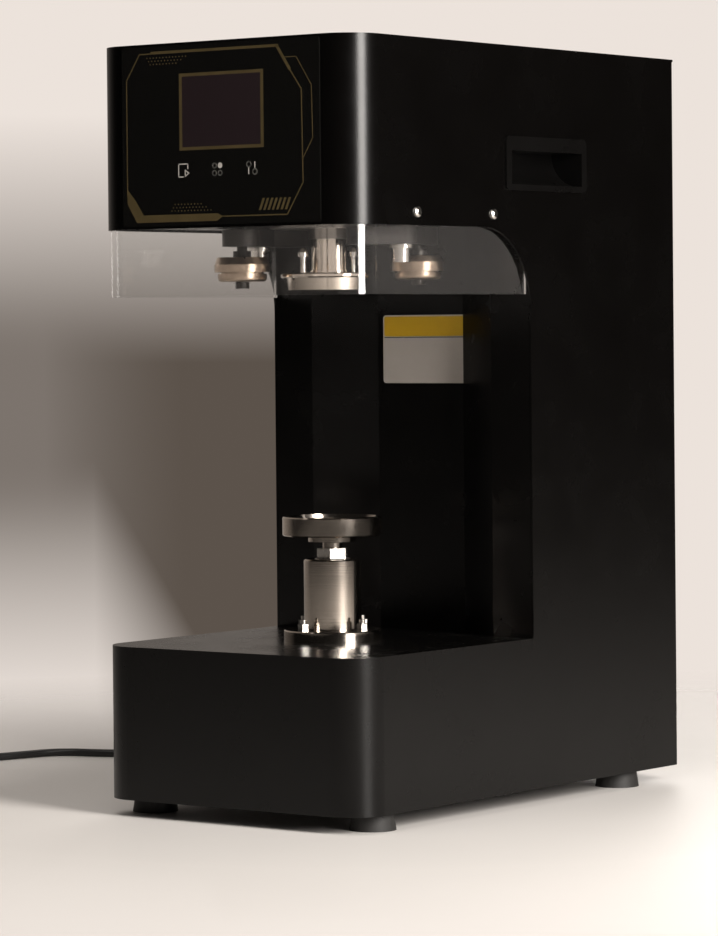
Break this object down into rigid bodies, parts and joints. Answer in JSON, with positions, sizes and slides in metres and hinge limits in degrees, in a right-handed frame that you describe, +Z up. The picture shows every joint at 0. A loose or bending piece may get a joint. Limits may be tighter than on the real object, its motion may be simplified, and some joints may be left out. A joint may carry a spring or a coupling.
{
  "type": "bench can seamer",
  "caption": "Bench can seamer: a black C-shaped cabinet whose turning head folds a lid on a can that a tray lifts to a fixed chuck, behind a clear guard.",
  "frame": {"origin": "on the ground under the middle of the cabinet's box, without the cord", "axes": "+X to the machine's right as seen from the front, +Y to the back, +Z up"},
  "size_m": [0.7806, 0.583, 0.634],
  "materials": {
    "cabinet_paint": "fine matt black powder coat",
    "panel_gloss": "gloss black overlay",
    "screen": "dark display glass",
    "circuit": "green circuit board",
    "clear_acrylic": "clear acrylic with polished edges",
    "moulded_black": "satin black moulding",
    "rubber": "matt black rubber",
    "bright_screws": "bright nickel plate",
    "nickel": "polished nickel plate",
    "ground_steel": "ground steel",
    "roller_steel": "hardened roller steel",
    "blackened_steel": "blackened steel",
    "frame_steel": "grey primed steel",
    "pulley_alloy": "turned alloy",
    "motor_case": "black motor enamel",
    "supply_case": "plain folded alloy",
    "belt_rubber": "toothed belt rubber",
    "cord_black": "black cord sheath"
  },
  "bodies": {
    "cabinet": {"cabinet_shell": "cabinet_paint", "top_plate": "cabinet_paint", "base_deck": "cabinet_paint", "column_cover": "cabinet_paint", "rear_cover": "cabinet_paint", "head_underplate": "cabinet_paint", "control_panel": "panel_gloss", "display_module": "screen", "control_board": "circuit", "splash_guard": "clear_acrylic", "handle_cup_left": "moulded_black", "handle_cup_right": "moulded_black", "power_switch_body": "moulded_black", "cord_gland": "moulded_black", "rubber_feet": "rubber", "guard_screws": "bright_screws", "rear_cover_screws": "bright_screws", "foot_screws": "bright_screws", "housing_nuts": "bright_screws", "chuck_screw": "bright_screws", "chuck_studs": "bright_screws", "lift_housing": "nickel", "centre_shaft": "nickel", "seaming_chuck": "nickel", "turret_bearings": "ground_steel", "bearing_block": "blackened_steel", "bottom_plate": "frame_steel", "head_plate": "frame_steel", "column_posts": "frame_steel", "deck_stiffener": "frame_steel", "shaft_bridge": "frame_steel", "gearmotor_saddle": "frame_steel", "main_motor": "motor_case", "lift_gearmotor": "motor_case", "power_supply": "supply_case", "turret_belt": "belt_rubber", "cam_belt": "belt_rubber", "power_cord": "cord_black", "cord_coil": "cord_black", "cord_tie": "cord_black", "mains_plug": "cord_black"},
    "head_turret": {"turret": "blackened_steel", "turret_pulley": "pulley_alloy", "arm_pivot_bolts": "bright_screws"},
    "first_swing": {"first_arm": "blackened_steel"},
    "second_swing": {"second_arm": "blackened_steel"},
    "first_roll": {"first_roller": "roller_steel"},
    "second_roll": {"second_roller": "roller_steel"},
    "first_follow": {"first_follower": "ground_steel"},
    "second_follow": {"second_follower": "ground_steel"},
    "cam_drive": {"arm_cam": "ground_steel"},
    "motor_shaft": {"motor_pulleys": "pulley_alloy"},
    "lift": {"lift_plunger": "ground_steel", "lock_nut": "bright_screws"},
    "lift_turn": {"lift_cam": "ground_steel"},
    "lift_roll": {"lift_follower": "ground_steel"},
    "stem": {"tray_stem": "nickel"},
    "tray": {"can_tray": "nickel"},
    "rocker": {"power_switch_rocker": "moulded_black"}
  },
  "joints": [
    {"name": "turret_spin", "type": "hinge", "parent": "cabinet", "child": "head_turret", "pos_m": [0, -0.0885, 0.5], "axis": [0, 0, 1], "continuous": true},
    {"name": "cam_spin", "type": "hinge", "parent": "cabinet", "child": "cam_drive", "pos_m": [0, -0.0885, 0.49], "axis": [0, 0, 1], "continuous": true},
    {"name": "motor_spin", "type": "hinge", "parent": "cabinet", "child": "motor_shaft", "pos_m": [0, 0.1175, 0.5], "axis": [0, 0, 1], "continuous": true},
    {"name": "first_arm_swing", "type": "hinge", "parent": "head_turret", "child": "first_swing", "pos_m": [-0.0716, -0.0897, 0.476], "axis": [0, 0, 1], "range_deg": [0, 11], "stiffness_Nm_per_rad": 1},
    {"name": "first_roller_spin", "type": "hinge", "parent": "first_swing", "child": "first_roll", "pos_m": [-0.0576, -0.1317, 0.45], "axis": [0, 0, 1], "continuous": true},
    {"name": "first_follower_spin", "type": "hinge", "parent": "first_swing", "child": "first_follow", "pos_m": [-0.052, -0.0625, 0.488], "axis": [0, 0, 1], "continuous": true},
    {"name": "second_arm_swing", "type": "hinge", "parent": "head_turret", "child": "second_swing", "pos_m": [0.0716, -0.0873, 0.476], "axis": [0, 0, 1], "range_deg": [0, 11], "stiffness_Nm_per_rad": 1},
    {"name": "second_roller_spin", "type": "hinge", "parent": "second_swing", "child": "second_roll", "pos_m": [0.0576, -0.0453, 0.45], "axis": [0, 0, 1], "continuous": true},
    {"name": "second_follower_spin", "type": "hinge", "parent": "second_swing", "child": "second_follow", "pos_m": [0.052, -0.1145, 0.488], "axis": [0, 0, 1], "continuous": true},
    {"name": "lift_rise", "type": "slide", "parent": "cabinet", "child": "lift", "axis": [0, 0, 1], "range_m": [0, 0.025]},
    {"name": "lift_cam_turn", "type": "hinge", "parent": "cabinet", "child": "lift_turn", "pos_m": [0, -0.0885, 0.068], "axis": [0, 1, 0], "range_deg": [0, 240]},
    {"name": "lift_follower_spin", "type": "hinge", "parent": "lift", "child": "lift_roll", "pos_m": [0, -0.0885, 0.096], "axis": [0, 1, 0], "continuous": true},
    {"name": "tray_height", "type": "slide", "parent": "lift", "child": "stem", "axis": [0, 0, 1], "range_m": [0, 0.055]},
    {"name": "tray_turn", "type": "hinge", "parent": "stem", "child": "tray", "pos_m": [0, -0.0885, 0.23], "axis": [0, 0, 1], "continuous": true},
    {"name": "power_switch", "type": "hinge", "parent": "cabinet", "child": "rocker", "pos_m": [0, 0.2305, 0.074], "axis": [-1, 0, 0], "range_deg": [0, 20]}
  ],
  "couplings": [
    {"joint": "cam_spin", "follows": "turret_spin", "ratio": 1.0169},
    {"joint": "motor_spin", "follows": "turret_spin", "ratio": 2},
    {"joint": "lift_cam_turn", "follows": "lift_rise", "rad_per_m": 167.55}
  ]
}
